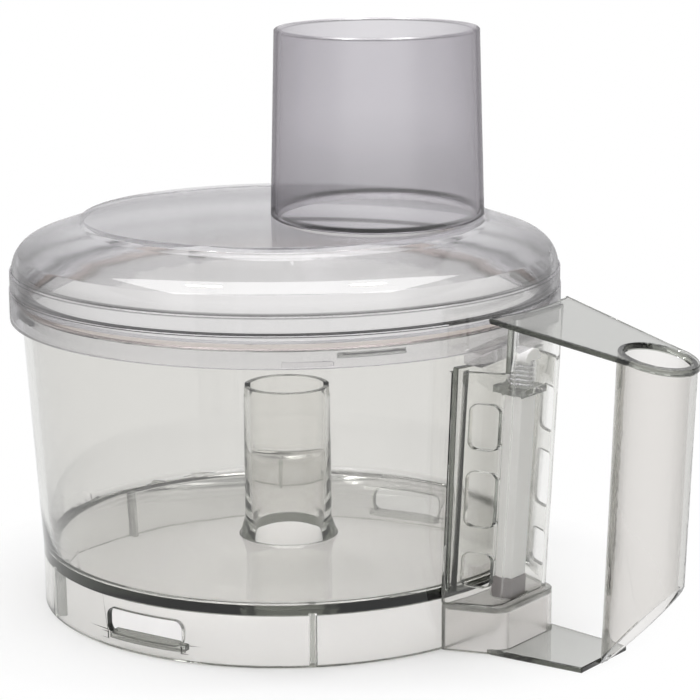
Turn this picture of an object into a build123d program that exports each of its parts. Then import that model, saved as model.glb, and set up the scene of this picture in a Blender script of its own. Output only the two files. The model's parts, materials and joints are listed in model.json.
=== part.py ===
"""Work bowl, lid and safety push rod of a food processor, in millimetres.

Z is the bowl's axis, Z 0 is the plane that the skirt stands on, and the handle points along +X.
"""
import math
import os

from build123d import *

os.makedirs("parts", exist_ok=True)

# Bowl
SKIRT_R = 86.5
SKIRT_H = 17.3
FLOOR_T = 2.8
BOWL_WALL = 2.5
RIM_R = 91.5
RIM_Z = 105.6
FLOOR_FILLET = 3.0
TUBE_R = 15.3
TUBE_WALL = 2.0
TUBE_TOP = 74.0
TUBE_FLARE = 2.0
NOTCH_W = 6.0
NOTCH_DEPTH = 3.5
NOTCH_ANGLES = (40.0, 220.0)
SLOT_W = 30.0
SLOT_H = 8.4
SLOT_Z = 9.4
SLOT_CORNER = 3.0
SLOT_ANGLES = (96.0, 276.0)
LEDGE_DEPTH = 4.0
LEDGE_H = 2.2
RIB_T = 2.0
RIB_DEPTH = 3.0
RIB_ANGLES = (59.0, 133.0, 177.0, 241.0, 315.0)

# Bayonet between the bowl's rim and the lid
LUG_STARTS = (50.0, 140.0, 230.0, 320.0)
RAMP_ARC = 14.0
RAMP_T = 1.7
RAMP_PROUD = 1.4
LUG_ARC = 10.0
LUG_T = 1.5
LUG_SIDE_GAP = 1.0
LUG_TOP_GAP = 0.8
LUG_WALL_GAP = 0.6
LID_RAMP_GAP = 0.4

# Lid
LID_WALL = 2.0
BAND_PROUD = 0.3
LID_BOTTOM = 100.5
BAND_TOP = 111.0
SHOULDER_Z = 117.0
SHOULDER_STEP = 0.6
CORNER_DROP = 9.3
CORNER_FILLET = 11.0
PLATEAU_R = 70.0
PLATEAU_Z = 134.5
PLATEAU_STEP = 1.6
PLATEAU_RAMP = 1.0
HANDLE_GAP_ANGLE = 17.5
LAND_T = 2.0
LAND_W = 5.0
SEAL_H = 2.0
SEAL_GAP = 0.3
SEAL_SIDE_GAP = 0.7
SEAL_W = 4.0
SEAL_ROUND = 0.6

# Feed chute
CHUTE_R = 32.0
CHUTE_ANGLE = 36.0
CHUTE_W = 73.5
CHUTE_L = 92.0
CHUTE_TOP = 198.0
CHUTE_WALL = 2.5
CHUTE_DRAFT = 1.8

# Interlock column, which leans with the bowl's wall, and its tub
COLUMN_OUT = 14.6
COLUMN_HALF_OUT = 15.0
COLUMN_HALF_IN = 21.5
COLUMN_WALL = 2.0
COLUMN_TOP = 94.5
COLUMN_CORNER = 6.0
TUB_OUT = 17.0
TUB_H = 16.0
BACK_T = 2.7
BACK_TOP = 96.0
BACK_ANGLE = 14.5
WINDOW_OUT = 7.2
WINDOW_W = 8.5
WINDOW_CORNER = 2.5
WINDOW_SPANS = ((23.0, 34.5), (43.5, 62.0), (69.5, 84.5))
BOND_GAP = 0.05

# Push rod, measured along its lean
ROD_OUT = 8.4
ROD_W = 8.5
ROD_T = 5.0
ROD_EDGE = 0.8
ROD_TRAVEL = 3.0
GUIDE_Z = 86.0
GUIDE_T = 2.0
GUIDE_HALF = 7.0
STOP_GAP = 0.3
NECK_R = 2.3
NECK_GAP = 0.35
CAP_Z = 97.0
CAP_SIDE_H = 1.0
CAP_TOP = 101.0
CAP_T = 6.5
CAP_SOCKET = 2.0
FOOT_BOTTOM = 15.2
FOOT_TOP = 23.2
FOOT_W = 8.6
FOOT_T = 5.8
FOOT_GAP = 0.8
SPIGOT_R = 1.9
SPIGOT_L = 4.7
PLUG_GAP = 0.05

# Cam tab on the lid
TWIST = 12.0
CAM_START = -13.5
CAM_END = 4.0
CAM_REACH = 11.5
CAM_TOP = 104.0
CAM_T = 4.2
CAM_GAP = 0.3

# Return spring
WIRE_R = 0.4
COIL_R = 3.2
COIL_TURNS = 5
SPRING_END_GAP = 0.3

# Handle
BRIDGE_Z = 113.2
BRIDGE_T = 2.0
BRIDGE_SLOPE = 0.2
BRIDGE_REACH = 12.5
BRIDGE_HALF = 23.4
GRIP_A = 12.6
GRIP_B = 12.9
GRIP_WALL = 2.0
GRIP_FOOT_A = 13.6
GRIP_FOOT_B = 9.0
GRIP_REACH = 58.9
GRIP_LEAN = 5.0
GRIP_CUT_BACK = 12.9
GRIP_CUT_ANGLE = 48.0
LOWER_T = 2.0
LOWER_ROOT = 17.2
LOWER_HALF = 12.8

# Sizes that follow from those above
FLOOR_Z = SKIRT_H + FLOOR_T
TUBE_BORE = TUBE_R - TUBE_WALL
RAMP_R = RIM_R + RAMP_PROUD
RAMP_TOP = RIM_Z - 0.8
RAMP_BOTTOM = RAMP_TOP - RAMP_T
LID_IN = RAMP_R + LID_RAMP_GAP
BAND_R = LID_IN + LID_WALL
LID_R = BAND_R - BAND_PROUD
SEAL_Z = RIM_Z + SEAL_GAP
LAND_Z = SEAL_Z + SEAL_H + SEAL_GAP
CAM_RATE = ROD_TRAVEL / TWIST
GUIDE_TOP = GUIDE_Z + GUIDE_T
CAM_R = RIM_R + CAM_REACH
BRIDGE_START = RIM_R + BRIDGE_REACH
GRIP_TOP_X = RIM_R + GRIP_REACH
GRIP_FOOT_X = GRIP_TOP_X - GRIP_LEAN
GRIP_CUT_X = GRIP_FOOT_X - GRIP_CUT_BACK
TUB_X = SKIRT_R + TUB_OUT
LEAN = math.atan2(RIM_R - SKIRT_R, RIM_Z - FLOOR_Z)
BAR_TOP = GUIDE_Z - STOP_GAP
FAR = 60.0


def wall_r(z):
    return SKIRT_R + (RIM_R - SKIRT_R) * (z - FLOOR_Z) / (RIM_Z - FLOOR_Z)


def lean_point(out, height):
    up, side = math.cos(LEAN), math.sin(LEAN)
    return wall_r(0) + out * up + height * side, height * up - out * side


def lean_plane(height):
    up, side = math.cos(LEAN), math.sin(LEAN)
    x, z = lean_point(0, height)
    return Plane(origin=(x, 0, z), x_dir=(up, 0, -side), z_dir=(side, 0, up))


def lean_side():
    return Plane(origin=(wall_r(0), 0, 0), x_dir=(math.cos(LEAN), 0, -math.sin(LEAN)), z_dir=(0, -1, 0))


def lean_front(out):
    x, z = lean_point(out, 0)
    return Plane(origin=(x, 0, z), x_dir=(0, 1, 0), z_dir=(math.cos(LEAN), 0, -math.sin(LEAN)))


def bridge_top(x):
    return BRIDGE_Z - BRIDGE_SLOPE * (x - BRIDGE_START)


def bridge_under(x):
    return bridge_top(x) - BRIDGE_T


def radial_plane(angle):
    return Plane(origin=(0, 0, 0), x_dir=Vector(1, 0, 0).rotate(Axis.Z, angle),
                 z_dir=Vector(0, -1, 0).rotate(Axis.Z, angle))


def facing_plane(angle, radius, z):
    return Plane(origin=Vector(radius, 0, z).rotate(Axis.Z, angle), x_dir=Vector(0, 1, 0).rotate(Axis.Z, angle),
                 z_dir=Vector(1, 0, 0).rotate(Axis.Z, angle))


def column_plan(inset, base, depth):
    def half(out):
        return COLUMN_HALF_OUT + (COLUMN_HALF_IN - COLUMN_HALF_OUT) * (depth - out) / depth - inset

    back, front = -10, depth - inset
    with BuildSketch() as plan:
        Polygon((base + back, half(back)), (base + front, half(front)), (base + front, -half(front)),
                (base + back, -half(back)), align=None)
        fillet(plan.vertices().group_by(Axis.X)[-1], COLUMN_CORNER - inset)
    return plan.sketch


def bridge_slab(thickness):
    near, far = BRIDGE_START - 10, GRIP_TOP_X + GRIP_A + 10
    with BuildPart() as slab:
        with BuildSketch(Plane.XZ):
            with BuildLine():
                Polyline((near, bridge_top(near)), (far, bridge_top(far)), (far, bridge_top(far) - thickness),
                         (near, bridge_top(near) - thickness), close=True)
            make_face()
        extrude(amount=FAR, both=True)
    return slab.part


def sector(radius, start, end, low, high):
    with BuildPart() as wedge:
        with BuildSketch(radial_plane(start)):
            with Locations(((radius + FAR) / 2 + radius / 2, (low + high) / 2)):
                Rectangle(FAR, high - low)
        revolve(axis=Axis.Z, revolution_arc=end - start)
    return wedge.part


def grip_loft(grow):
    with BuildPart() as oval:
        for z, x, a, b in ((-FAR / 10, GRIP_FOOT_X, GRIP_FOOT_A, GRIP_FOOT_B),
                           (BRIDGE_Z + FAR / 10, GRIP_TOP_X, GRIP_A, GRIP_B)):
            with BuildSketch(Plane.XY.offset(z)):
                with Locations((x, 0)):
                    Ellipse(a + grow, b + grow)
        loft(ruled=True)
    return oval.part


def coil_points(turns, low, high):
    count = turns * 4
    rise = (high - low) / count
    tangent_z = rise / (math.pi / 2 * COIL_R)
    for i in range(count + 1):
        a = math.pi / 2 * i
        point = Vector(COIL_X + COIL_R * math.cos(a), COIL_R * math.sin(a), low + rise * i)
        yield point, Vector(-math.sin(a), math.cos(a), tangent_z).normalized()


def biarc(start, start_dir, end, end_dir):
    span = end - start
    both = start_dir + end_dir
    bend = 2 * (1 - start_dir.dot(end_dir))
    lead = span.dot(both)
    reach = (-lead + math.sqrt(lead * lead + bend * span.dot(span))) / bend
    first = start + start_dir * reach
    second = end - end_dir * reach
    middle = (first + second) * 0.5
    for a, apex, b in ((start, first, middle), (middle, second, end)):
        chord = (b - a).length / 2
        centre = (a + b) * 0.5
        lift = (apex - centre).length
        yield a, centre + (apex - centre).normalized() * (chord * math.tan(math.atan2(lift, chord) / 2)), b


with BuildPart() as bowl:
    with BuildSketch(Plane.XZ) as section:
        with BuildLine():
            Polyline((TUBE_BORE, SKIRT_H), (SKIRT_R - BOWL_WALL, SKIRT_H), (SKIRT_R - BOWL_WALL, 0), (SKIRT_R, 0),
                     (SKIRT_R, FLOOR_Z), (RIM_R, RIM_Z), (RIM_R - BOWL_WALL, RIM_Z), (SKIRT_R - BOWL_WALL, FLOOR_Z),
                     (TUBE_R + TUBE_FLARE, FLOOR_Z), (TUBE_R, FLOOR_Z + 3 * TUBE_FLARE), (TUBE_R, TUBE_TOP),
                     (TUBE_BORE, TUBE_TOP), close=True)
        make_face()
        corner = section.vertices().sort_by_distance((SKIRT_R - BOWL_WALL, FLOOR_Z))[0]
        fillet(corner, FLOOR_FILLET)
    revolve(axis=Axis.Z)
    # Ribs inside the skirt and a ledge under each slot
    for angle in RIB_ANGLES:
        with BuildSketch(facing_plane(angle, SKIRT_R - BOWL_WALL - RIB_DEPTH, SKIRT_H / 2)):
            Rectangle(RIB_T, SKIRT_H)
        extrude(amount=RIB_DEPTH + BOWL_WALL / 2)
    for angle in SLOT_ANGLES:
        with BuildSketch(facing_plane(angle, SKIRT_R - BOWL_WALL - LEDGE_DEPTH, SLOT_Z - SLOT_H / 2 - LEDGE_H / 2)):
            Rectangle(SLOT_W, LEDGE_H)
        extrude(amount=LEDGE_DEPTH + BOWL_WALL / 2)
        with BuildSketch(facing_plane(angle, SKIRT_R - BOWL_WALL - LEDGE_DEPTH - 1, SLOT_Z)):
            RectangleRounded(SLOT_W, SLOT_H, SLOT_CORNER)
        extrude(amount=FAR / 4, mode=Mode.SUBTRACT)
    # Notches in the spindle tube's rim
    for angle in NOTCH_ANGLES:
        with BuildSketch(facing_plane(angle, TUBE_BORE - 1, TUBE_TOP)):
            Rectangle(NOTCH_W, 2 * NOTCH_DEPTH)
        extrude(amount=2 * TUBE_WALL + 2, mode=Mode.SUBTRACT)
    # Ramps that hold the lid's lugs down
    for angle in LUG_STARTS:
        with BuildSketch(radial_plane(angle)):
            with BuildLine():
                Polyline((RIM_R - BOWL_WALL / 2, RAMP_BOTTOM), (RAMP_R, RAMP_BOTTOM), (RAMP_R, RAMP_TOP - RAMP_T / 2),
                         (RIM_R - BOWL_WALL / 2, RAMP_TOP), close=True)
            make_face()
        revolve(axis=Axis.Z, revolution_arc=RAMP_ARC)
bowl.part.label = "bowl"

# Everything that the column and tub must stay clear of on the bowl's side
with BuildPart() as bowl_room:
    with BuildSketch(Plane.XZ):
        with BuildLine():
            Polyline((0, -1), (SKIRT_R + BOND_GAP, -1), (SKIRT_R + BOND_GAP, FLOOR_Z), (RIM_R + BOND_GAP, RIM_Z),
                     (RIM_R + BOND_GAP, RIM_Z + FAR), (0, RIM_Z + FAR), close=True)
        make_face()
    revolve(axis=Axis.Z)

with BuildPart() as switch_socket:
    with BuildSketch():
        add(column_plan(0, SKIRT_R, TUB_OUT))
    extrude(amount=TUB_H)
    with BuildSketch():
        add(column_plan(COLUMN_WALL, SKIRT_R, TUB_OUT))
    extrude(amount=TUB_H - COLUMN_WALL, mode=Mode.SUBTRACT)
    with BuildSketch():
        with Locations((lean_point(ROD_OUT, TUB_H)[0], 0)):
            Rectangle(FOOT_T + 2 * FOOT_GAP, FOOT_W + 2 * FOOT_GAP)
    extrude(amount=TUB_H, mode=Mode.SUBTRACT)
    add(bowl_room.part, mode=Mode.SUBTRACT)
switch_socket.part.label = "switch_socket"

with BuildPart() as interlock_housing:
    with BuildSketch(lean_plane(TUB_H - COLUMN_CORNER)):
        add(column_plan(0, 0, COLUMN_OUT))
        add(column_plan(COLUMN_WALL, 0, COLUMN_OUT), mode=Mode.SUBTRACT)
    extrude(amount=BRIDGE_Z)
    # Low side walls on the tub, and an outer wall that stops under the bridge
    with BuildSketch(Plane.XZ):
        inside = COLUMN_OUT - COLUMN_WALL
        far = COLUMN_OUT + RIM_R + FAR
        with BuildLine():
            Polyline((0, COLUMN_TOP), (lean_point(inside, COLUMN_TOP)[0], COLUMN_TOP),
                     lean_point(inside, BRIDGE_Z + FAR), (0, BRIDGE_Z + FAR), close=True)
        make_face()
        with BuildLine():
            Polyline((0, bridge_under(0)), (far, bridge_under(far)), (far, BRIDGE_Z + 2 * FAR),
                     (0, BRIDGE_Z + 2 * FAR), close=True)
        make_face()
        with BuildLine():
            Polyline((0, -FAR), (far, -FAR), (far, TUB_H), (0, TUB_H), close=True)
        make_face()
    extrude(amount=FAR, both=True, mode=Mode.SUBTRACT)
    # Windows through both side walls
    for low, high in WINDOW_SPANS:
        with BuildSketch(lean_side()):
            with Locations((WINDOW_OUT, (low + high) / 2)):
                RectangleRounded(WINDOW_W, high - low, WINDOW_CORNER)
        extrude(amount=FAR, both=True, mode=Mode.SUBTRACT)
    # Back plate that lies along the bowl
    with BuildSketch(radial_plane(-BACK_ANGLE)):
        with BuildLine():
            Polyline((wall_r(FLOOR_Z) - 1, FLOOR_Z), (wall_r(FLOOR_Z) + BACK_T, FLOOR_Z),
                     (wall_r(BACK_TOP) + BACK_T, BACK_TOP), (wall_r(BACK_TOP) - 1, BACK_TOP), close=True)
        make_face()
    revolve(axis=Axis.Z, revolution_arc=2 * BACK_ANGLE)
    # Guide strip that the rod's neck runs in
    with BuildSketch(lean_plane(GUIDE_Z)):
        with Locations((COLUMN_OUT / 2, 0)):
            Rectangle(COLUMN_OUT - COLUMN_WALL, 2 * GUIDE_HALF)
        with Locations((ROD_OUT, 0)):
            Circle(NECK_R + NECK_GAP, mode=Mode.SUBTRACT)
    extrude(amount=GUIDE_T)
    add(bowl_room.part, mode=Mode.SUBTRACT)
interlock_housing.part.label = "interlock_housing"

with BuildPart() as push_rod:
    with BuildSketch(lean_plane(FOOT_TOP)):
        with Locations((ROD_OUT, 0)):
            RectangleRounded(ROD_T, ROD_W, ROD_EDGE)
    extrude(amount=BAR_TOP - FOOT_TOP)
    with BuildSketch(lean_plane(BAR_TOP)):
        with Locations((ROD_OUT, 0)):
            Circle(NECK_R)
    extrude(amount=CAP_Z + CAP_SOCKET - BAR_TOP)
    with BuildSketch(lean_plane(FOOT_TOP - SPIGOT_L)):
        with Locations((ROD_OUT, 0)):
            Circle(SPIGOT_R)
    extrude(amount=SPIGOT_L)
push_rod.part.label = "push_rod"

with BuildPart() as rod_cap:
    with BuildSketch(lean_front(ROD_OUT - CAP_T / 2)):
        with BuildLine():
            Polyline((-ROD_W / 2, CAP_Z + CAP_SIDE_H), (-ROD_W / 2, CAP_Z), (ROD_W / 2, CAP_Z),
                     (ROD_W / 2, CAP_Z + CAP_SIDE_H))
            ThreePointArc((ROD_W / 2, CAP_Z + CAP_SIDE_H), (0, CAP_TOP), (-ROD_W / 2, CAP_Z + CAP_SIDE_H))
        make_face()
    extrude(amount=CAP_T)
    with BuildSketch(lean_plane(CAP_Z)):
        with Locations((ROD_OUT, 0)):
            Circle(NECK_R + PLUG_GAP)
    extrude(amount=CAP_SOCKET, mode=Mode.SUBTRACT)
rod_cap.part.label = "rod_cap"

with BuildPart() as rod_foot:
    with BuildSketch(lean_plane(FOOT_BOTTOM)):
        with Locations((ROD_OUT, 0)):
            RectangleRounded(FOOT_T, FOOT_W, ROD_EDGE)
    extrude(amount=FOOT_TOP - FOOT_BOTTOM)
    with BuildSketch(lean_plane(FOOT_TOP - SPIGOT_L)):
        with Locations((ROD_OUT, 0)):
            Circle(SPIGOT_R + PLUG_GAP)
    extrude(amount=SPIGOT_L, mode=Mode.SUBTRACT)
rod_foot.part.label = "rod_foot"

# The spring stands upright between the leaning guide and cap
COIL_X = lean_point(ROD_OUT, (GUIDE_TOP + CAP_Z) / 2)[0]
COIL_LOW = lean_point(ROD_OUT, GUIDE_TOP)[1] + SPRING_END_GAP + WIRE_R
COIL_HIGH = lean_point(ROD_OUT, CAP_Z)[1] - SPRING_END_GAP - WIRE_R
coil = list(coil_points(COIL_TURNS, COIL_LOW, COIL_HIGH))
with BuildPart() as return_spring:
    with BuildLine():
        for (here, here_dir), (there, there_dir) in zip(coil, coil[1:]):
            for a, middle, b in biarc(here, here_dir, there, there_dir):
                ThreePointArc(a, middle, b)
    with BuildSketch(Plane(origin=coil[0][0], z_dir=coil[0][1])):
        Circle(WIRE_R)
    sweep()
return_spring.part.label = "return_spring"
turn_gap = min((p - q).length for i, (p, _) in enumerate(coil) for q, _ in coil[i + 3:]) - 2 * WIRE_R
print("least gap between the spring's turns", round(turn_gap, 2), "mm")

with BuildPart() as lid_seal:
    with BuildSketch(Plane.XZ) as seal_section:
        with Locations((LID_IN - SEAL_SIDE_GAP - SEAL_W / 2, SEAL_Z + SEAL_H / 2)):
            RectangleRounded(SEAL_W, SEAL_H, SEAL_ROUND)
    revolve(axis=Axis.Z)
lid_seal.part.label = "lid_seal"

with BuildPart() as lid:
    corner_r = LID_R - SHOULDER_STEP - 0.9
    corner_z = PLATEAU_Z - CORNER_DROP
    slope_z = PLATEAU_Z - PLATEAU_STEP
    with BuildSketch(Plane.XZ) as lid_section:
        with BuildLine():
            Polyline((LID_IN, LID_BOTTOM), (BAND_R, LID_BOTTOM), (BAND_R, BAND_TOP), (LID_R, BAND_TOP),
                     (LID_R, SHOULDER_Z), (LID_R - SHOULDER_STEP, SHOULDER_Z), (corner_r, corner_z),
                     (PLATEAU_R + PLATEAU_RAMP, slope_z), (PLATEAU_R, PLATEAU_Z), (0, PLATEAU_Z),
                     (0, PLATEAU_Z - LID_WALL), (PLATEAU_R - 1, PLATEAU_Z - LID_WALL),
                     (PLATEAU_R + PLATEAU_RAMP - 1, slope_z - LID_WALL), (corner_r - LID_WALL, corner_z - LID_WALL),
                     (LID_IN - LID_WALL / 2, SHOULDER_Z), (LID_IN - LID_WALL / 2, LAND_Z + LAND_T),
                     (LID_IN - LAND_W, LAND_Z + LAND_T), (LID_IN - LAND_W, LAND_Z), (LID_IN, LAND_Z), close=True)
        make_face()
        outer = lid_section.vertices().sort_by_distance((corner_r, corner_z))[0]
        inner = lid_section.vertices().sort_by_distance((corner_r - LID_WALL, corner_z - LID_WALL))[0]
        fillet(outer, CORNER_FILLET)
        fillet(inner, CORNER_FILLET - LID_WALL)
    revolve(axis=Axis.Z)
    # The proud band stops on both sides of the handle
    add(sector(LID_R, -HANDLE_GAP_ANGLE, HANDLE_GAP_ANGLE, LID_BOTTOM - 1, BAND_TOP), mode=Mode.SUBTRACT)
    # Lugs that turn under the bowl's ramps
    for angle in LUG_STARTS:
        with BuildSketch(radial_plane(angle - LUG_SIDE_GAP - LUG_ARC)):
            lug_top = RAMP_BOTTOM - LUG_TOP_GAP
            lug_in = wall_r(lug_top) + LUG_WALL_GAP
            with Locations(((lug_in + LID_R) / 2, lug_top - LUG_T / 2)):
                Rectangle(LID_R - lug_in, LUG_T)
        revolve(axis=Axis.Z, revolution_arc=LUG_ARC)
    # Cam tab whose sloping underside drives the rod down
    cam_angles = [CAM_START + (CAM_END - CAM_START) * i / 6 for i in range(7)]
    cap_peak = lean_point(ROD_OUT - CAP_T / 2, CAP_TOP)[1]
    for angle in cam_angles:
        low = cap_peak + CAM_GAP + CAM_RATE * angle
        with BuildSketch(radial_plane(angle)):
            high = min(CAM_TOP, low + CAM_T)
            with Locations(((CAM_R + LID_R - 0.5) / 2, (high + low) / 2)):
                Rectangle(CAM_R - LID_R + 0.5, high - low)
    loft(ruled=True)
    # Opening under the chute
    with BuildSketch(Plane.XY.offset(PLATEAU_Z)):
        with Locations(Location(Vector(CHUTE_R, 0, 0).rotate(Axis.Z, CHUTE_ANGLE), (0, 0, CHUTE_ANGLE))):
            Ellipse(CHUTE_W / 2 - CHUTE_WALL, CHUTE_L / 2 - CHUTE_WALL)
    extrude(amount=-2 * LID_WALL, mode=Mode.SUBTRACT)
lid.part.label = "lid"

with BuildPart() as feed_chute:
    spot = Location(Vector(CHUTE_R, 0, 0).rotate(Axis.Z, CHUTE_ANGLE), (0, 0, CHUTE_ANGLE))
    for wall, mode in ((0, Mode.ADD), (CHUTE_WALL, Mode.SUBTRACT)):
        for z, draft in ((PLATEAU_Z, 0), (CHUTE_TOP, CHUTE_DRAFT)):
            with BuildSketch(Plane.XY.offset(z)):
                with Locations(spot):
                    Ellipse(CHUTE_W / 2 - wall - draft, CHUTE_L / 2 - wall - draft)
        loft(ruled=True, mode=mode)
feed_chute.part.label = "feed_chute"

with BuildPart() as upper_bridge:
    with BuildSketch():
        Polygon((BRIDGE_START - 8, BRIDGE_HALF), (GRIP_TOP_X, GRIP_B), (GRIP_TOP_X, -GRIP_B),
                (BRIDGE_START - 8, -BRIDGE_HALF), align=None)
        with Locations((GRIP_TOP_X, 0)):
            Ellipse(GRIP_A, GRIP_B)
    extrude(amount=BRIDGE_Z + FAR)
    add(bridge_slab(BRIDGE_T), mode=Mode.INTERSECT)
    with BuildSketch():
        Circle(BRIDGE_START)
    extrude(amount=BRIDGE_Z + FAR, mode=Mode.SUBTRACT)
    add(grip_loft(-GRIP_WALL), mode=Mode.SUBTRACT)
upper_bridge.part.label = "upper_bridge"

with BuildPart() as grip:
    add(grip_loft(0))
    add(grip_loft(-GRIP_WALL), mode=Mode.SUBTRACT)
    # Cut flush under the bridge, flat on the table line and slanted at the open foot
    with BuildSketch(Plane.XZ):
        far = GRIP_TOP_X + FAR / 2
        near = GRIP_FOOT_X - FAR
        rise = (far - GRIP_CUT_X) * math.tan(math.radians(GRIP_CUT_ANGLE))
        with BuildLine():
            Polyline((near, 0), (GRIP_CUT_X, 0), (far, rise), (far, bridge_under(far)), (near, bridge_under(near)),
                     close=True)
        make_face()
    extrude(amount=FAR, both=True, mode=Mode.INTERSECT)
grip.part.label = "grip"

with BuildPart() as lower_bridge:
    root_x, end_x = TUB_X - COLUMN_CORNER, GRIP_FOOT_X - GRIP_FOOT_A / 2
    with BuildSketch():
        Polygon((root_x, LOWER_ROOT), (end_x, LOWER_HALF), (end_x, -LOWER_HALF), (root_x, -LOWER_ROOT), align=None)
        add(column_plan(0, SKIRT_R, TUB_OUT), mode=Mode.SUBTRACT)
    extrude(amount=LOWER_T)
    with BuildSketch(Plane.XZ):
        with Locations((GRIP_CUT_X + FAR, 0)):
            Rectangle(2 * FAR, 4 * LOWER_T)
    extrude(amount=FAR, both=True, mode=Mode.SUBTRACT)
    add(grip_loft(BOND_GAP), mode=Mode.SUBTRACT)
lower_bridge.part.label = "lower_bridge"

for piece in (bowl, interlock_housing, switch_socket, upper_bridge, lower_bridge, grip, push_rod, rod_cap, rod_foot,
              return_spring, lid_seal, lid, feed_chute):
    export_step(piece.part, f"parts/{piece.part.label}.step")
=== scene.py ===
"""Work bowl, lid and push rod of a food processor, dressed in clear plastic on a white table."""

import json
import math

import bmesh
import bpy
from mathutils import Euler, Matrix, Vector

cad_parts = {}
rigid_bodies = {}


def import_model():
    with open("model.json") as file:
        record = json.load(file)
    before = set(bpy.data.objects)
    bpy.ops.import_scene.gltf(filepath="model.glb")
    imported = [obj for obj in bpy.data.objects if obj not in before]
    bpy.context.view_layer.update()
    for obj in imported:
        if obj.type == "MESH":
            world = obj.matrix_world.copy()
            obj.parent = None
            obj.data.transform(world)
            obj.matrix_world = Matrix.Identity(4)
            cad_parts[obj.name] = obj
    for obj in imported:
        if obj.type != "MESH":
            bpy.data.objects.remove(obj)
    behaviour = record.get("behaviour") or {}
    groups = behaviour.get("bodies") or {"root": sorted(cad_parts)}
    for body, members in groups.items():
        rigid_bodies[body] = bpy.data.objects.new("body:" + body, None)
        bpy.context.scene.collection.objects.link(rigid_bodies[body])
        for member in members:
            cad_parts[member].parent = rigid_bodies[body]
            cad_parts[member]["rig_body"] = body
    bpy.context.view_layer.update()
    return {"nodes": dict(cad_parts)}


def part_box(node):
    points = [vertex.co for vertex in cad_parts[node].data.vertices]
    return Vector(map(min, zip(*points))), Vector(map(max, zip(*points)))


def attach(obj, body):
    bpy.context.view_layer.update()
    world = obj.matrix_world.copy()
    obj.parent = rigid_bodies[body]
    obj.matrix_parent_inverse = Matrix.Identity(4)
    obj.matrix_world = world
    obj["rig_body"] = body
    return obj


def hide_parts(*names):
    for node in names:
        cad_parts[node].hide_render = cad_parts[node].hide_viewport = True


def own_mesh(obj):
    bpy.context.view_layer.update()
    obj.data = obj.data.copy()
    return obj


bl_info = {
    "name": "Food Processor Bowl",
    "version": (1, 0, 0),
    "blender": (4, 5, 0),
    "location": "View3D > Sidebar > Bowl",
    "description": "Clear plastic, push rod, spring and studio for a food processor's work bowl",
    "category": "Object",
}

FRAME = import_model()
SPRING_LOW, SPRING_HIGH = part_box("return_spring")

# Share of the tint at each height, painted shade and light: dark lines where the lid's wall turns
# and at the chute's ends, the chute darker towards its foot, and the lid's dome lighter
LID_PAINTED_SHADES = ((0.1105, 1.0), (0.1106, 0.0), (0.1114, 0.0), (0.1115, 1.0), (0.1162, 1.0),
              (0.1165, 0.25), (0.1175, 0.25), (0.1178, 1.0), (0.121, 1.14))
CHUTE_PAINTED_SHADES = ((0.1345, 0.0), (0.1361, 0.0), (0.1364, 0.8), (0.15, 0.86), (0.165, 1.0),
                (0.1969, 1.0), (0.1972, 0.35), (0.198, 0.35))
# Share of the lid's tint that is left at a slant, painted shade along the outline: the rim and the
# dome's sides draw the outline
LID_OUTLINE_SHADES = ((0.1178, 0.1), (0.121, 0.3), (0.128, 0.4), (0.1315, 0.62))

# How suddenly the painted shade darkens a face as it turns away: higher keeps the dark to the
# outline
BOWL_FALL = 3.0
LID_FALL = 2.0
GRIP_FALL = 1.3

# Distance from the bowl's axis that its spindle tube stays within, and where the fade ends
TUBE_EDGE = 0.0165
TUBE_FADE = 1.1 * TUBE_EDGE

# Gloss of clear plastic, and the spread of haze that its mould leaves
CLEAR_BENDING = 1.5
COAT_BENDING = 1.8
COAT_ROUGHNESS = 0.01
CHUTE_COAT_ROUGHNESS = 0.3
CLEAR_WAVES = (45.0, 0.02)
HAZE_SPREAD = 0.03

# Scale and height of the grain, then its lowest and highest roughness
BAR_GRAIN = (700.0, 0.12, 0.34, 0.5)
FOOT_GRAIN = (900.0, 0.2, 0.4, 0.58)
WIRE_GRAIN = (900.0, 0.15, 0.18, 0.34)
SATIN_BENDING = 1.47
SATIN_CLOUD = 35.0
SATIN_SHADES = (0.94, 1.05)

SEAL_BENDING = 1.1
SEAL_HAZE = 0.1

# Points nearer than this are one
WELD = 2e-6
# Faces under the first angle are one flat, over the second they meet in a crease
FLAT = math.radians(0.1)
CREASE = math.radians(28)

# Width of the chamfers on creases. The lid's smallest step leaves room for very little
MOULDING_CHAMFER = 0.0003
LID_CHAMFER = 0.00014
CHUTE_CHAMFER = 0.0005
ROD_CHAMFER = 0.0002
SEAL_CHAMFER = 0.0001

# A face narrower than this is a cut edge and takes painted shade: the grip's slanting cut is wide,
# the lid has few
WIDEST_EDGE = 0.0032
LID_WIDEST_EDGE = 0.0015
GRIP_WIDEST_EDGE = 0.006
SHADED_EDGE_MASK = "cut_edge"

SPIRAL_STEPS = 40
WIRE_SIDES = 14

WHITE = (1, 1, 1, 1)
# The room's ceiling is dimmer than its walls, from these heights of the view
WALL_TOP = 0.3
CEILING = 0.75
CEILING_COLOUR = (0.5, 0.5, 0.51, 1)
# How far to one side the dark cards start, and where they are full
FLAGS = (0.7, 0.85)

TABLE_HALF = 3.0
TABLE_HEIGHT = -0.0003
TABLE_PAINT = (0.42, 0.42, 0.42, 1)
TABLE_GLOW = 0.32
# The table's shade fades to white between these distances from the bowl's axis
TABLE_FADE = (0.088, 0.138)

# Name, place, width and depth of the lights
SOFTBOX = ("softbox_above", (0.06, -0.08, 1.05), 1.5, 0.9)
LAMPS = (("lamp_left", (-0.23, -0.19, 1.0), 0.14, 0.08),
         ("lamp_right", (0.23, 0.19, 1.0), 0.14, 0.08))
FILM_WIDTH = 36.0
# Light passes many clear walls before it leaves the bowl
CLEAR_BOUNCES = 32
GLOSSY_BOUNCES = 12


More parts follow.
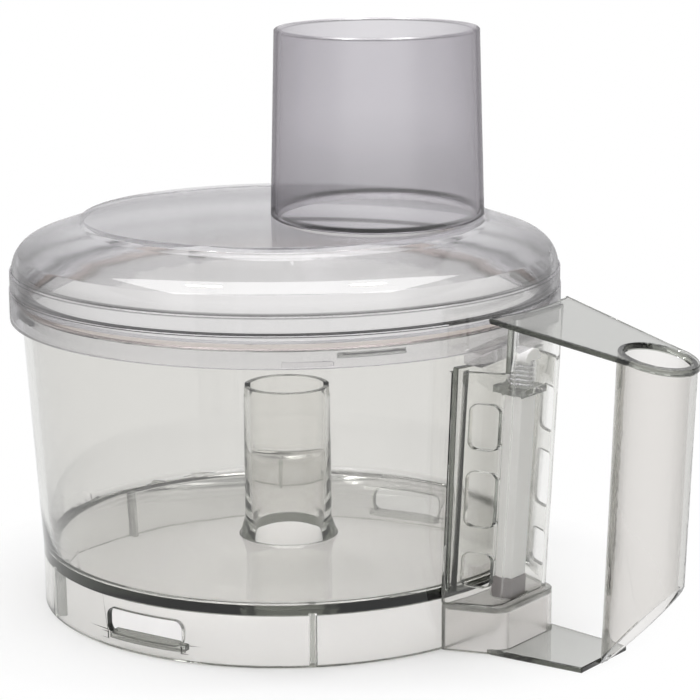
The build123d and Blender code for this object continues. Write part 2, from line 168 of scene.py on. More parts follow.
class PlasticSettings(bpy.types.PropertyGroup):
    """Clear plastic of the bowl, its handle, the lid and the chute"""
    bowl_tint: bpy.props.FloatVectorProperty(
        name="Bowl tint", description="Colour that one face of the bowl's plastic lets through",
        subtype="COLOR", size=3, min=0, max=1, default=(0.89, 0.882, 0.868))
    bowl_edge: bpy.props.FloatVectorProperty(
        name="Bowl edge colour", description="Colour that thick or edge-on bowl plastic turns to",
        subtype="COLOR", size=3, min=0, max=1, default=(0.40, 0.42, 0.37))
    # Painted shade on the bowl's and handle's narrow cut edges
    bowl_cut_shade: bpy.props.FloatVectorProperty(
        name="Bowl cut edges",
        description="Colour that the bowl's and handle's cut edges let through",
        subtype="COLOR", size=3, min=0, max=1, default=(0.33, 0.34, 0.31))
    bowl_depth: bpy.props.FloatProperty(
        name="Bowl absorption", description="How fast thick bowl plastic darkens, per metre",
        min=0, max=200, default=40.0)
    # Painted shade along the bowl's outline
    bowl_outline_shade: bpy.props.FloatProperty(
        name="Bowl slant",
        description="Share of the tint left where the bowl's plastic is seen at a slant",
        subtype="FACTOR", min=0, max=1, default=0.68)
    tube_tint: bpy.props.FloatVectorProperty(
        name="Tube tint", description="Colour that one face of the thin spindle tube lets through",
        subtype="COLOR", size=3, min=0, max=1, default=(0.99, 0.985, 0.975))
    tub_tint: bpy.props.FloatVectorProperty(
        name="Tub tint", description="Colour that one face of the tub lets through",
        subtype="COLOR", size=3, min=0, max=1, default=(0.89, 0.872, 0.862))
    tub_haze: bpy.props.FloatProperty(
        name="Tub haze", description="Milky roughness of the tub under the column",
        subtype="FACTOR", min=0, max=1, default=0.22)
    grip_tint: bpy.props.FloatVectorProperty(
        name="Grip tint", description="Colour that one face of the grip lets through",
        subtype="COLOR", size=3, min=0, max=1, default=(0.985, 0.967, 0.96))
    grip_depth: bpy.props.FloatProperty(
        name="Grip absorption", description="How fast the grip's plastic darkens, per metre",
        min=0, max=200, default=95.0)
    # Painted shade along the grip's outline
    grip_outline_shade: bpy.props.FloatProperty(
        name="Grip slant", description="Share of the tint left where the grip is seen at a slant",
        subtype="FACTOR", min=0, max=1, default=0.58)
    plate_tint: bpy.props.FloatVectorProperty(
        name="Plate tint", description="Colour that one face of the handle's plates lets through",
        subtype="COLOR", size=3, min=0, max=1, default=(0.65, 0.65, 0.635))
    plate_depth: bpy.props.FloatProperty(
        name="Plate absorption", description="How fast the handle's plates darken, per metre",
        min=0, max=200, default=60.0)
    column_tint: bpy.props.FloatVectorProperty(
        name="Column tint",
        description="Colour that one face of the interlock column lets through",
        subtype="COLOR", size=3, min=0, max=1, default=(0.985, 0.982, 0.972))
    column_depth: bpy.props.FloatProperty(
        name="Column absorption", description="How fast the interlock column darkens, per metre",
        min=0, max=200, default=45.0)
    column_haze: bpy.props.FloatProperty(
        name="Column haze", description="Milky roughness of the interlock column",
        subtype="FACTOR", min=0, max=1, default=0.05)
    lid_tint: bpy.props.FloatVectorProperty(
        name="Lid tint", description="Colour that one face of the lid's plastic lets through",
        subtype="COLOR", size=3, min=0, max=1, default=(0.86, 0.855, 0.87))
    lid_edge: bpy.props.FloatVectorProperty(
        name="Lid edge colour", description="Colour that thick or edge-on lid plastic turns to",
        subtype="COLOR", size=3, min=0, max=1, default=(0.43, 0.40, 0.44))
    # Painted shade on the lid's and chute's narrow cut edges
    lid_cut_shade: bpy.props.FloatVectorProperty(
        name="Lid cut edges",
        description="Colour that the lid's and chute's cut edges let through",
        subtype="COLOR", size=3, min=0, max=1, default=(0.78, 0.76, 0.79))
    lid_depth: bpy.props.FloatProperty(
        name="Lid absorption", description="How fast thick lid plastic darkens, per metre",
        min=0, max=200, default=12.0)
    lid_bending: bpy.props.FloatProperty(
        name="Lid bending",
        description="How much the lid's thin shell bends light, under its gloss coat",
        min=1, max=2, default=1.02)
    lid_haze: bpy.props.FloatProperty(
        name="Lid haze", description="Roughness inside the lid, under its gloss coat",
        subtype="FACTOR", min=0, max=1, default=0.15)
    lid_coat: bpy.props.FloatProperty(
        name="Lid coat", description="Strength of the lid's gloss",
        subtype="FACTOR", min=0, max=1, default=1.0)
    chute_tint: bpy.props.FloatVectorProperty(
        name="Chute tint", description="Colour that one face of the chute's plastic lets through",
        subtype="COLOR", size=3, min=0, max=1, default=(0.83, 0.82, 0.84))
    chute_depth: bpy.props.FloatProperty(
        name="Chute absorption", description="How fast thick chute plastic darkens, per metre",
        min=0, max=200, default=90.0)
    # Painted shade along the chute's outline
    chute_outline_shade: bpy.props.FloatProperty(
        name="Chute slant",
        description="Share of the tint left where the chute's plastic is seen at a slant",
        subtype="FACTOR", min=0, max=1, default=0.95)


class RodSettings(bpy.types.PropertyGroup):
    """Push rod, its spring and the lid's seal"""
    bar_colour: bpy.props.FloatVectorProperty(
        name="Bar colour", description="Satin plastic of the rod and its cap",
        subtype="COLOR", size=3, min=0, max=1, default=(0.93, 0.925, 0.915))
    foot_colour: bpy.props.FloatVectorProperty(
        name="Foot colour", description="Dark plastic of the rod's foot",
        subtype="COLOR", size=3, min=0, max=1, default=(0.19, 0.165, 0.165))
    seal_colour: bpy.props.FloatVectorProperty(
        name="Seal colour", description="Colour that one face of the lid's soft ring lets through",
        subtype="COLOR", size=3, min=0, max=1, default=(0.985, 0.965, 0.945))
    seal_edge: bpy.props.FloatVectorProperty(
        name="Seal edge colour", description="Colour that the ring turns to where it is thick",
        subtype="COLOR", size=3, min=0, max=1, default=(0.5, 0.35, 0.25))
    seal_depth: bpy.props.FloatProperty(
        name="Seal absorption", description="How fast the soft ring darkens, per metre",
        min=0, max=200, default=110.0)
    wire_colour: bpy.props.FloatVectorProperty(
        name="Wire colour", description="Bright steel of the return spring",
        subtype="COLOR", size=3, min=0, max=1, default=(0.62, 0.62, 0.63))
    wire_radius: bpy.props.FloatProperty(
        name="Wire radius", description="Half the spring wire's thickness",
        subtype="DISTANCE", unit="LENGTH", min=0.0001, default=0.0004)
    coil_turns: bpy.props.FloatProperty(
        name="Coil turns", description="Turns between the guide and the rod's cap",
        min=1, default=5.0)


class StudioSettings(bpy.types.PropertyGroup):
    """Camera and light"""
    camera_place: bpy.props.FloatVectorProperty(
        name="Camera place", description="Where the camera stands",
        subtype="TRANSLATION", unit="LENGTH", size=3, default=(0.5142, -0.6128, 0.2624))
    camera_turn: bpy.props.FloatVectorProperty(
        name="Camera turn", description="Tilt, roll and heading of the camera",
        subtype="EULER", unit="ROTATION", size=3,
        default=(math.radians(90 - 12.46), math.radians(-0.37), math.radians(38.41)))
    lens: bpy.props.FloatProperty(
        name="Lens", description="Focal length in millimetres on a 36 mm frame",
        unit="CAMERA", min=10, default=120.4)
    softbox_power: bpy.props.FloatProperty(
        name="Softbox power", description="Light from the box above the bowl, in watts",
        unit="POWER", min=0, default=13.0)
    lamp_power: bpy.props.FloatProperty(
        name="Lamp power", description="Light from each small lamp under the box, in watts",
        unit="POWER", min=0, default=2.0)
    flag_colour: bpy.props.FloatVectorProperty(
        name="Flag colour",
        description="Dark cards at both sides, which draw the plastic's edges",
        subtype="COLOR", size=3, min=0, max=1, default=(0.22, 0.22, 0.225))
    ambient: bpy.props.FloatProperty(
        name="Ambient", description="Even light from the white room",
        subtype="FACTOR", min=0, max=1, default=0.55)


def new_material(name):
    """A material with an empty node tree."""
    material = bpy.data.materials.new(name)
    material.use_nodes = True
    tree = material.node_tree
    tree.nodes.clear()
    return material, tree


def add(tree, kind, **inputs):
    """A new node, with values for its inputs, whose names have _ for each space."""
    node = tree.nodes.new(kind)
    for name, value in inputs.items():
        node.inputs[name.replace("_", " ")].default_value = value
    return node


def calculate(tree, kind, operation):
    """A new math or vector math node that does one operation."""
    node = tree.nodes.new(kind)
    node.operation = operation
    return node


def moulding_group():
    """Faint waves and haze that a polished mould leaves on plastic."""
    group = bpy.data.node_groups.get("moulded_surface")
    if group:
        return group
    group = bpy.data.node_groups.new("moulded_surface", "ShaderNodeTree")
    for name, default in (("Wave Scale", 60.0), ("Wave Height", 0.05), ("Low Roughness", 0.02),
                          ("High Roughness", 0.06)):
        socket = group.interface.new_socket(
            name=name, in_out="INPUT", socket_type="NodeSocketFloat")
        socket.default_value = default
    for name, kind in (("Roughness", "NodeSocketFloat"), ("Normal", "NodeSocketVector")):
        group.interface.new_socket(name=name, in_out="OUTPUT", socket_type=kind)
    inputs = group.nodes.new("NodeGroupInput")
    outputs = group.nodes.new("NodeGroupOutput")
    place = group.nodes.new("ShaderNodeTexCoord")
    noise = add(group, "ShaderNodeTexNoise", Detail=3.0, Roughness=0.55)
    spread = group.nodes.new("ShaderNodeMapRange")
    bump = add(group, "ShaderNodeBump", Distance=0.001)
    link = group.links.new
    link(place.outputs["Object"], noise.inputs["Vector"])
    link(inputs.outputs["Wave Scale"], noise.inputs["Scale"])
    link(noise.outputs["Fac"], spread.inputs["Value"])
    link(inputs.outputs["Low Roughness"], spread.inputs["To Min"])
    link(inputs.outputs["High Roughness"], spread.inputs["To Max"])
    link(noise.outputs["Fac"], bump.inputs["Height"])
    link(inputs.outputs["Wave Height"], bump.inputs["Strength"])
    link(spread.outputs["Result"], outputs.inputs["Roughness"])
    link(bump.outputs["Normal"], outputs.inputs["Normal"])
    return group


def use_moulding(tree, shader, scale, height, low, high):
    """Give a shader the roughness and the waves of a moulded surface."""
    surface = tree.nodes.new("ShaderNodeGroup")
    surface.node_tree = moulding_group()
    surface.inputs["Wave Scale"].default_value = scale
    surface.inputs["Wave Height"].default_value = height
    surface.inputs["Low Roughness"].default_value = low
    surface.inputs["High Roughness"].default_value = high
    tree.links.new(surface.outputs["Roughness"], shader.inputs["Roughness"])
    tree.links.new(surface.outputs["Normal"], shader.inputs["Normal"])


def blend(tree, mask, first, second):
    """Colour from the first to the second, each a tuple or a socket, as the mask rises."""
    mix = tree.nodes.new("ShaderNodeMix")
    mix.data_type = "RGBA"
    tree.links.new(mask, mix.inputs[0])
    for socket, colour in ((mix.inputs[6], first), (mix.inputs[7], second)):
        if isinstance(colour, bpy.types.NodeSocket):
            tree.links.new(colour, socket)
        else:
            socket.default_value = (*colour, 1)
    return mix.outputs[2]


def shaded(tint, share):
    """A share of a tint."""
    return [share * part for part in tint]


def by_height(tree, tint, shares):
    """Tint that changes with height, from pairs of a height and a share of the tint."""
    low, high = shares[0][0], shares[-1][0]
    place = tree.nodes.new("ShaderNodeTexCoord")
    split = tree.nodes.new("ShaderNodeSeparateXYZ")
    scale = add(tree, "ShaderNodeMapRange", From_Min=low, From_Max=high)
    ramp = tree.nodes.new("ShaderNodeValToRGB")
    points = ramp.color_ramp.elements
    while len(points) < len(shares):
        points.new(0.5)
    for point, (height, share) in zip(points, shares):
        point.position = (height - low) / (high - low)
        point.color = (*shaded(tint, share), 1)
    tree.links.new(place.outputs["Object"], split.inputs[0])
    tree.links.new(split.outputs["Z"], scale.inputs["Value"])
    tree.links.new(scale.outputs["Result"], ramp.inputs["Fac"])
    return ramp.outputs["Color"]


def by_radius(tree, inside, outside):
    """Colour that changes from the spindle tube to the bowl around it."""
    place = tree.nodes.new("ShaderNodeTexCoord")
    level = calculate(tree, "ShaderNodeVectorMath", "MULTIPLY")
    level.inputs[1].default_value = (1, 1, 0)
    size = calculate(tree, "ShaderNodeVectorMath", "LENGTH")
    scale = add(tree, "ShaderNodeMapRange", From_Min=TUBE_EDGE, From_Max=TUBE_FADE)
    tree.links.new(place.outputs["Object"], level.inputs[0])
    tree.links.new(level.outputs["Vector"], size.inputs[0])
    tree.links.new(size.outputs["Value"], scale.inputs["Value"])
    return blend(tree, scale.outputs["Result"], inside, outside)


def clear_plastic(name, tint, slant, cut, body_colour, depth, fall=BOWL_FALL, haze=0.0,
                  bending=CLEAR_BENDING, coat=0.0, coat_roughness=COAT_ROUGHNESS, shades=None,
                  core=None):
    """Clear moulded plastic with painted shade at a slant and at its cut edges, and painted shade
    and light by height where shades are given.

    The slant is a share of the tint, or pairs of a height and a share, as the shades are.
    """
    material, tree = new_material(name)
    link = tree.links.new
    shader = add(tree, "ShaderNodeBsdfPrincipled", Metallic=0.0, IOR=bending,
                 Transmission_Weight=1.0, Coat_Roughness=coat_roughness, Coat_IOR=COAT_BENDING)
    use_moulding(tree, shader, *CLEAR_WAVES, haze, haze + HAZE_SPREAD)
    face = tint
    # Painted shade and light that change with height
    if shades:
        face = by_height(tree, tint, shades)
    if core:
        face = by_radius(tree, core, tint)
    # Painted shade along the outline: the tint that is left as a face turns away from the view
    turned = by_height(tree, tint, slant) if isinstance(slant, tuple) else shaded(tint, slant)
    weight = add(tree, "ShaderNodeLayerWeight", Blend=0.5)
    grazing = calculate(tree, "ShaderNodeMath", "POWER")
    grazing.inputs[1].default_value = fall
    link(weight.outputs["Facing"], grazing.inputs[0])
    face = blend(tree, grazing.outputs[0], face, turned)
    if coat:
        gloss = calculate(tree, "ShaderNodeMath", "MULTIPLY_ADD")
        gloss.inputs[1].default_value, gloss.inputs[2].default_value = -coat, coat
        link(grazing.outputs[0], gloss.inputs[0])
        link(gloss.outputs[0], shader.inputs["Coat Weight"])
    # Painted shade on the narrow cut edges
    edges = tree.nodes.new("ShaderNodeAttribute")
    edges.attribute_name = SHADED_EDGE_MASK
    link(blend(tree, edges.outputs["Fac"], face, cut), shader.inputs["Base Color"])
    rays = tree.nodes.new("ShaderNodeLightPath")
    veil = add(tree, "ShaderNodeBsdfTransparent", Color=(*tint, 1))
    mix = tree.nodes.new("ShaderNodeMixShader")
    body = add(tree, "ShaderNodeVolumeAbsorption", Color=(*body_colour, 1), Density=depth)
    out = tree.nodes.new("ShaderNodeOutputMaterial")
    link(rays.outputs["Is Shadow Ray"], mix.inputs[0])
    link(shader.outputs[0], mix.inputs[1])
    link(veil.outputs[0], mix.inputs[2])
    link(mix.outputs[0], out.inputs["Surface"])
    link(body.outputs[0], out.inputs["Volume"])
    return material


def satin_plastic(name, colour, grain):
    """Opaque moulded plastic with a fine grain and a faint change of shade."""
    material, tree = new_material(name)
    shader = add(tree, "ShaderNodeBsdfPrincipled", Metallic=0.0, IOR=SATIN_BENDING)
    use_moulding(tree, shader, *grain)
    place = tree.nodes.new("ShaderNodeTexCoord")
    cloud = add(tree, "ShaderNodeTexNoise", Scale=SATIN_CLOUD, Detail=2.0)
    shade = tree.nodes.new("ShaderNodeValToRGB")
    for point, share in zip(shade.color_ramp.elements, SATIN_SHADES):
        point.color = (*[min(part, 1) for part in shaded(colour, share)], 1)
    out = tree.nodes.new("ShaderNodeOutputMaterial")
    tree.links.new(place.outputs["Object"], cloud.inputs["Vector"])
    tree.links.new(cloud.outputs["Fac"], shade.inputs["Fac"])
    tree.links.new(shade.outputs["Color"], shader.inputs["Base Color"])
    tree.links.new(shader.outputs[0], out.inputs["Surface"])
    return material


def drawn_wire(name, colour):
    """Bright spring wire with a faint grain from drawing."""
    material, tree = new_material(name)
    shader = add(tree, "ShaderNodeBsdfPrincipled", Base_Color=(*colour, 1), Metallic=1.0)
    use_moulding(tree, shader, *WIRE_GRAIN)
    out = tree.nodes.new("ShaderNodeOutputMaterial")
    tree.links.new(shader.outputs[0], out.inputs["Surface"])
    return material


def mark_cut_edges(shape, widest):
    """Mark the narrow faces, such as rims and the sides of plates, for the material to darken with
    painted shade.
    """
    layer = shape.faces.layers.float.new(SHADED_EDGE_MASK)
    left = set(shape.faces)
    while left:
        group, queue = set(), [left.pop()]
        area = outline = 0.0
        while queue:
            face = queue.pop()
            group.add(face)
            area += face.calc_area()
            for edge in face.edges:
                near = [other for other in edge.link_faces if other is not face]
                if len(near) == 1 and edge.calc_face_angle() < CREASE:
                    if near[0] in left:
                        left.remove(near[0])
                        queue.append(near[0])
                else:
                    outline += edge.calc_length()
        if outline and 2 * area / outline < widest:
            for face in group:
                face[layer] = 1.0


def smooth_piece(node, name, material, chamfer, widest=WIDEST_EDGE):
    """A merged copy of a CAD node, with smooth curves and small chamfers that catch light."""
    source = FRAME["nodes"][node]
    shape = bmesh.new()
    shape.from_mesh(source.data)
    bmesh.ops.remove_doubles(shape, verts=shape.verts, dist=WELD)
    bmesh.ops.dissolve_limit(
        shape, angle_limit=FLAT, verts=shape.verts, edges=shape.edges, delimit={"NORMAL"})
    creases = [edge for edge in shape.edges if edge.calc_face_angle() > CREASE]
    bmesh.ops.bevel(
        shape, geom=creases, offset=chamfer, offset_type="OFFSET", segments=1, profile=0.5,
        affect="EDGES", clamp_overlap=False, loop_slide=False)
    mark_cut_edges(shape, widest)
    mesh = bpy.data.meshes.new(name)
    shape.to_mesh(mesh)
    shape.free()
    for layer in ("custom_normal", "sharp_edge", "sharp_face"):
        if layer in mesh.attributes:
            mesh.attributes.remove(mesh.attributes[layer])
    mesh.shade_smooth()
    mesh.set_sharp_from_angle(angle=CREASE)
    mesh.materials.clear()
    mesh.materials.append(material)
    piece = bpy.data.objects.new(name, mesh)
    bpy.context.scene.collection.objects.link(piece)
    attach(piece, source["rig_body"])
    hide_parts(node)


class ClearMouldings(bpy.types.Operator):
    """Bowl, interlock column, tub, handle plates and grip in clear grey plastic"""
    bl_idname = "processor.clear_mouldings"
    bl_label = "Clear mouldings"

    def execute(self, context):
        plastic = context.scene.bowl_plastic
        tubular = {"core": plastic.tube_tint}
        rows = (
            ("clear_grey_plastic", ("bowl",), plastic.bowl_tint, plastic.bowl_outline_shade,
             plastic.bowl_depth, tubular),
            ("clear_tub_plastic", ("switch_socket",), plastic.tub_tint, plastic.bowl_outline_shade,
             plastic.bowl_depth, {"haze": plastic.tub_haze}),
            ("clear_grip_plastic", ("grip",), plastic.grip_tint, plastic.grip_outline_shade,
             plastic.grip_depth, {"fall": GRIP_FALL}),
            ("clear_plate_plastic", ("upper_bridge", "lower_bridge"), plastic.plate_tint,
             plastic.bowl_outline_shade, plastic.plate_depth, {}),
            ("clear_column_plastic", ("interlock_housing",), plastic.column_tint,
             plastic.bowl_outline_shade, plastic.column_depth, {"haze": plastic.column_haze}),
        )
        for name, nodes, tint, slant, depth, more in rows:
            material = clear_plastic(
                name, tint, slant, plastic.bowl_cut_shade, plastic.bowl_edge, depth, **more)
            for node in nodes:
                widest = GRIP_WIDEST_EDGE if node == "grip" else WIDEST_EDGE
                smooth_piece(node, "clear_" + node, material, MOULDING_CHAMFER, widest)
        return {"FINISHED"}


class LidAndChute(bpy.types.Operator):
    """Domed lid and feed chute in clear lilac-grey plastic"""
    bl_idname = "processor.lid_and_chute"
    bl_label = "Lid and chute"

    def execute(self, context):
        plastic = context.scene.bowl_plastic
        rows = (
            ("lid", plastic.lid_tint, LID_OUTLINE_SHADES, plastic.lid_depth, LID_PAINTED_SHADES, COAT_ROUGHNESS,
             LID_CHAMFER),
            ("feed_chute", plastic.chute_tint, plastic.chute_outline_shade, plastic.chute_depth,
             CHUTE_PAINTED_SHADES, CHUTE_COAT_ROUGHNESS, CHUTE_CHAMFER),
        )
        for node, tint, slant, depth, shades, coat_roughness, chamfer in rows:
            material = clear_plastic(
                "lilac_" + node, tint, slant, plastic.lid_cut_shade, plastic.lid_edge, depth, LID_FALL,
                plastic.lid_haze, plastic.lid_bending, plastic.lid_coat, coat_roughness, shades)
            smooth_piece(node, "clear_" + node, material, chamfer, LID_WIDEST_EDGE)
        return {"FINISHED"}


class PushRod(bpy.types.Operator):
    """White bar with its cap, and the dark foot"""
    bl_idname = "processor.push_rod"
    bl_label = "Push rod"

    def execute(self, context):
        rod = context.scene.bowl_rod
        white = satin_plastic("white_rod_plastic", rod.bar_colour, BAR_GRAIN)
        dark = satin_plastic("dark_foot_plastic", rod.foot_colour, FOOT_GRAIN)
        smooth_piece("push_rod", "white_push_rod", white, ROD_CHAMFER)
        smooth_piece("rod_cap", "white_rod_cap", white, ROD_CHAMFER)
        smooth_piece("rod_foot", "dark_rod_foot", dark, ROD_CHAMFER)
        return {"FINISHED"}


class LidSeal(bpy.types.Operator):
    """Soft brown ring between the bowl's rim and the lid"""
    bl_idname = "processor.lid_seal"
    bl_label = "Lid seal"

    def execute(self, context):
        rod = context.scene.bowl_rod
        rubber = clear_plastic(
            "brown_seal_rubber", rod.seal_colour, 1.0, rod.seal_colour, rod.seal_edge,
            rod.seal_depth, haze=SEAL_HAZE, bending=SEAL_BENDING)
        smooth_piece("lid_seal", "soft_lid_seal", rubber, SEAL_CHAMFER)
        return {"FINISHED"}


class ReturnSpring(bpy.types.Operator):
    """Steel coil around the rod's neck, which the cap presses together"""
    bl_idname = "processor.return_spring"
    bl_label = "Return spring"

    def winding_tree(self, material):
        """Geometry Nodes that wind a wire, and the sockets of their inputs by name."""
        tree = bpy.data.node_groups.new("wound_spring", "GeometryNodeTree")
        tree.interface.new_socket(
            name="Geometry", in_out="OUTPUT", socket_type="NodeSocketGeometry")
        sockets = {
            name: tree.interface.new_socket(
                name=name, in_out="INPUT", socket_type="NodeSocketFloat")
            for name in ("Turns", "Coil Radius", "Coil Height", "Wire Radius")}
        inputs = tree.nodes.new("NodeGroupInput")
        outputs = tree.nodes.new("NodeGroupOutput")
        spiral = add(tree, "GeometryNodeCurveSpiral", Resolution=SPIRAL_STEPS)
        profile = add(tree, "GeometryNodeCurvePrimitiveCircle", Resolution=WIRE_SIDES)
        tube = add(tree, "GeometryNodeCurveToMesh", Fill_Caps=True)
        shade = tree.nodes.new("GeometryNodeSetShadeSmooth")
        realize = tree.nodes.new("GeometryNodeRealizeInstances")
        paint = add(tree, "GeometryNodeSetMaterial", Material=material)
        link = tree.links.new
        link(inputs.outputs["Turns"], spiral.inputs["Rotations"])
        link(inputs.outputs["Coil Radius"], spiral.inputs["Start Radius"])
        link(inputs.outputs["Coil Radius"], spiral.inputs["End Radius"])
        link(inputs.outputs["Coil Height"], spiral.inputs["Height"])
        link(inputs.outputs["Wire Radius"], profile.inputs["Radius"])
        link(spiral.outputs[0], tube.inputs["Curve"])
        link(profile.outputs[0], tube.inputs["Profile Curve"])
        link(tube.outputs[0], shade.inputs["Geometry"])
        link(shade.outputs[0], realize.inputs["Geometry"])
        link(realize.outputs[0], paint.inputs["Geometry"])
        link(paint.outputs[0], outputs.inputs[0])
        return tree, sockets

    def execute(self, context):
        rod = context.scene.bowl_rod
        wire = rod.wire_radius
        tree, sockets = self.winding_tree(drawn_wire("spring_wire", rod.wire_colour))
        former = bpy.data.objects.new("spring_former", bpy.data.meshes.new("spring_former"))
        context.scene.collection.objects.link(former)
        modifier = former.modifiers.new("Winding", "NODES")
        modifier.node_group = tree
        for name, value in (
                ("Turns", rod.coil_turns),
                ("Coil Radius", (SPRING_HIGH.x - SPRING_LOW.x) / 2 - wire),
                ("Coil Height", SPRING_HIGH.z - SPRING_LOW.z - 2 * wire),
                ("Wire Radius", wire)):
            modifier[sockets[name].identifier] = value
        context.view_layer.update()
        wound = bpy.data.meshes.new_from_object(
            former.evaluated_get(context.evaluated_depsgraph_get()))
        bpy.data.objects.remove(former)
        middle = Vector(((SPRING_LOW.x + SPRING_HIGH.x) / 2, 0, SPRING_LOW.z + wire))
        for vertex in wound.vertices:
            vertex.co += middle
        piece = bpy.data.objects.new("steel_return_spring", wound)
        context.scene.collection.objects.link(piece)
        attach(piece, "bowl")
        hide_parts("return_spring")
        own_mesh(piece)
        return {"FINISHED"}


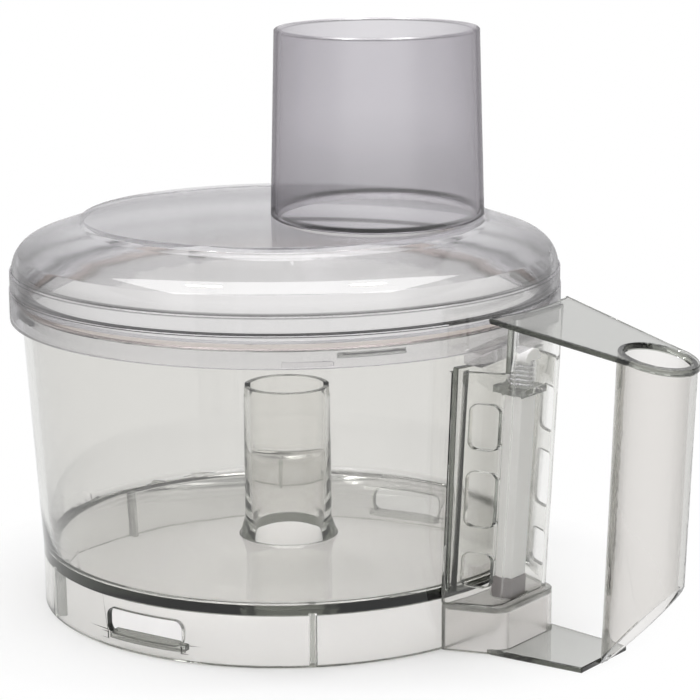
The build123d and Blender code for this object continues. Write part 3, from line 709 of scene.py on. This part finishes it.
class Studio(bpy.types.Operator):
    """White table, white room, lights and camera"""
    bl_idname = "processor.studio"
    bl_label = "Studio"

    def white_room(self, scene, studio):
        """Even light, a white backdrop, and dark cards for reflections and clear walls."""
        world = bpy.data.worlds.new("white_room")
        scene.world = world
        world.use_nodes = True
        tree = world.node_tree
        tree.nodes.clear()
        link = tree.links.new
        place = tree.nodes.new("ShaderNodeTexCoord")
        split = tree.nodes.new("ShaderNodeSeparateXYZ")
        ramp = tree.nodes.new("ShaderNodeValToRGB")
        stops = ramp.color_ramp.elements
        stops[0].position, stops[0].color = 0.0, WHITE
        stops[1].position, stops[1].color = CEILING, CEILING_COLOUR
        stops.new(WALL_TOP).color = WHITE
        link(place.outputs["Generated"], split.inputs[0])
        link(split.outputs["Z"], ramp.inputs["Fac"])
        heading = studio.camera_turn[2]
        aside = calculate(tree, "ShaderNodeVectorMath", "DOT_PRODUCT")
        aside.inputs[1].default_value = (math.cos(heading), math.sin(heading), 0)
        either = calculate(tree, "ShaderNodeMath", "ABSOLUTE")
        flags = add(tree, "ShaderNodeMapRange", From_Min=FLAGS[0], From_Max=FLAGS[1])
        link(place.outputs["Generated"], aside.inputs[0])
        link(aside.outputs["Value"], either.inputs[0])
        link(either.outputs[0], flags.inputs["Value"])
        walls = blend(tree, flags.outputs["Result"], ramp.outputs["Color"], studio.flag_colour)
        rays = tree.nodes.new("ShaderNodeLightPath")
        seen = calculate(tree, "ShaderNodeMath", "MAXIMUM")
        link(rays.outputs["Is Glossy Ray"], seen.inputs[0])
        link(rays.outputs["Is Transmission Ray"], seen.inputs[1])
        room = blend(tree, seen.outputs[0], 3 * (studio.ambient,), walls)
        backdrop = blend(tree, rays.outputs["Is Camera Ray"], room, WHITE[:3])
        glow = tree.nodes.new("ShaderNodeBackground")
        out = tree.nodes.new("ShaderNodeOutputWorld")
        link(backdrop, glow.inputs["Color"])
        link(glow.outputs[0], out.inputs["Surface"])

    def table(self, scene):
        """White table that takes a shadow near the bowl and fades into the backdrop."""
        mesh = bpy.data.meshes.new("white_table")
        half, height = TABLE_HALF, TABLE_HEIGHT
        mesh.from_pydata([(-half, -half, height), (half, -half, height), (half, half, height),
                          (-half, half, height)], [], [(0, 1, 2, 3)])
        material, tree = new_material("table_white")
        link = tree.links.new
        paint = add(tree, "ShaderNodeBsdfDiffuse", Color=TABLE_PAINT)
        glow = add(tree, "ShaderNodeEmission", Color=WHITE, Strength=TABLE_GLOW)
        near = tree.nodes.new("ShaderNodeAddShader")
        far = add(tree, "ShaderNodeEmission", Color=WHITE, Strength=1.0)
        place = tree.nodes.new("ShaderNodeTexCoord")
        reach = calculate(tree, "ShaderNodeVectorMath", "LENGTH")
        fade = add(tree, "ShaderNodeMapRange", From_Min=TABLE_FADE[0], From_Max=TABLE_FADE[1])
        mix = tree.nodes.new("ShaderNodeMixShader")
        out = tree.nodes.new("ShaderNodeOutputMaterial")
        link(paint.outputs[0], near.inputs[0])
        link(glow.outputs[0], near.inputs[1])
        link(place.outputs["Object"], reach.inputs[0])
        link(reach.outputs["Value"], fade.inputs["Value"])
        link(fade.outputs["Result"], mix.inputs[0])
        link(near.outputs[0], mix.inputs[1])
        link(far.outputs[0], mix.inputs[2])
        link(mix.outputs[0], out.inputs["Surface"])
        mesh.materials.append(material)
        table = bpy.data.objects.new("white_table", mesh)
        scene.collection.objects.link(table)

    def light(self, scene, name, place, width, height, power):
        """A flat light that faces down and is turned with the camera."""
        panel = bpy.data.lights.new(name, "AREA")
        panel.shape = "RECTANGLE"
        panel.size, panel.size_y = width, height
        panel.energy = power
        lamp = bpy.data.objects.new(name, panel)
        lamp.location = place
        lamp.rotation_euler = (0, 0, scene.bowl_studio.camera_turn[2])
        scene.collection.objects.link(lamp)

    def camera(self, scene, studio):
        """Camera at the photograph's place, rolled about its own axis."""
        lens = bpy.data.cameras.new("camera")
        lens.sensor_width = FILM_WIDTH
        lens.lens = studio.lens
        camera = bpy.data.objects.new("camera", lens)
        camera.location = studio.camera_place
        tilt, roll, heading = studio.camera_turn
        turned = Euler((tilt, 0, heading)).to_matrix() @ Euler((0, 0, roll)).to_matrix()
        camera.rotation_euler = turned.to_euler()
        scene.collection.objects.link(camera)
        scene.camera = camera

    def execute(self, context):
        scene = context.scene
        studio = scene.bowl_studio
        self.white_room(scene, studio)
        self.table(scene)
        self.light(scene, *SOFTBOX, studio.softbox_power)
        for lamp in LAMPS:
            self.light(scene, *lamp, studio.lamp_power)
        self.camera(scene, studio)
        scene.view_settings.view_transform = "Standard"
        scene.cycles.max_bounces = CLEAR_BOUNCES
        scene.cycles.transmission_bounces = CLEAR_BOUNCES
        scene.cycles.glossy_bounces = GLOSSY_BOUNCES
        scene.cycles.transparent_max_bounces = CLEAR_BOUNCES
        return {"FINISHED"}


class BowlPanel(bpy.types.Panel):
    """Settings and operators of the food processor's bowl"""
    bl_idname = "VIEW3D_PT_processor_bowl"
    bl_label = "Food processor bowl"
    bl_space_type = "VIEW_3D"
    bl_region_type = "UI"
    bl_category = "Bowl"

    def draw(self, context):
        scene = context.scene
        for settings in (scene.bowl_plastic, scene.bowl_rod, scene.bowl_studio):
            column = self.layout.column()
            for name in settings.__annotations__:
                column.prop(settings, name)
        for piece in OPERATORS:
            self.layout.operator(piece.bl_idname)


OPERATORS = (ClearMouldings, LidAndChute, PushRod, LidSeal, ReturnSpring, Studio)
CLASSES = (PlasticSettings, RodSettings, StudioSettings, *OPERATORS, BowlPanel)


def register():
    for kind in CLASSES:
        bpy.utils.register_class(kind)
    bpy.types.Scene.bowl_plastic = bpy.props.PointerProperty(type=PlasticSettings)
    bpy.types.Scene.bowl_rod = bpy.props.PointerProperty(type=RodSettings)
    bpy.types.Scene.bowl_studio = bpy.props.PointerProperty(type=StudioSettings)


def unregister():
    del bpy.types.Scene.bowl_plastic
    del bpy.types.Scene.bowl_rod
    del bpy.types.Scene.bowl_studio
    for kind in reversed(CLASSES):
        bpy.utils.unregister_class(kind)


def main():
    register()
    bpy.ops.processor.clear_mouldings()
    bpy.ops.processor.lid_and_chute()
    bpy.ops.processor.push_rod()
    bpy.ops.processor.lid_seal()
    bpy.ops.processor.return_spring()
    bpy.ops.processor.studio()


if __name__ == "__main__":
    main()
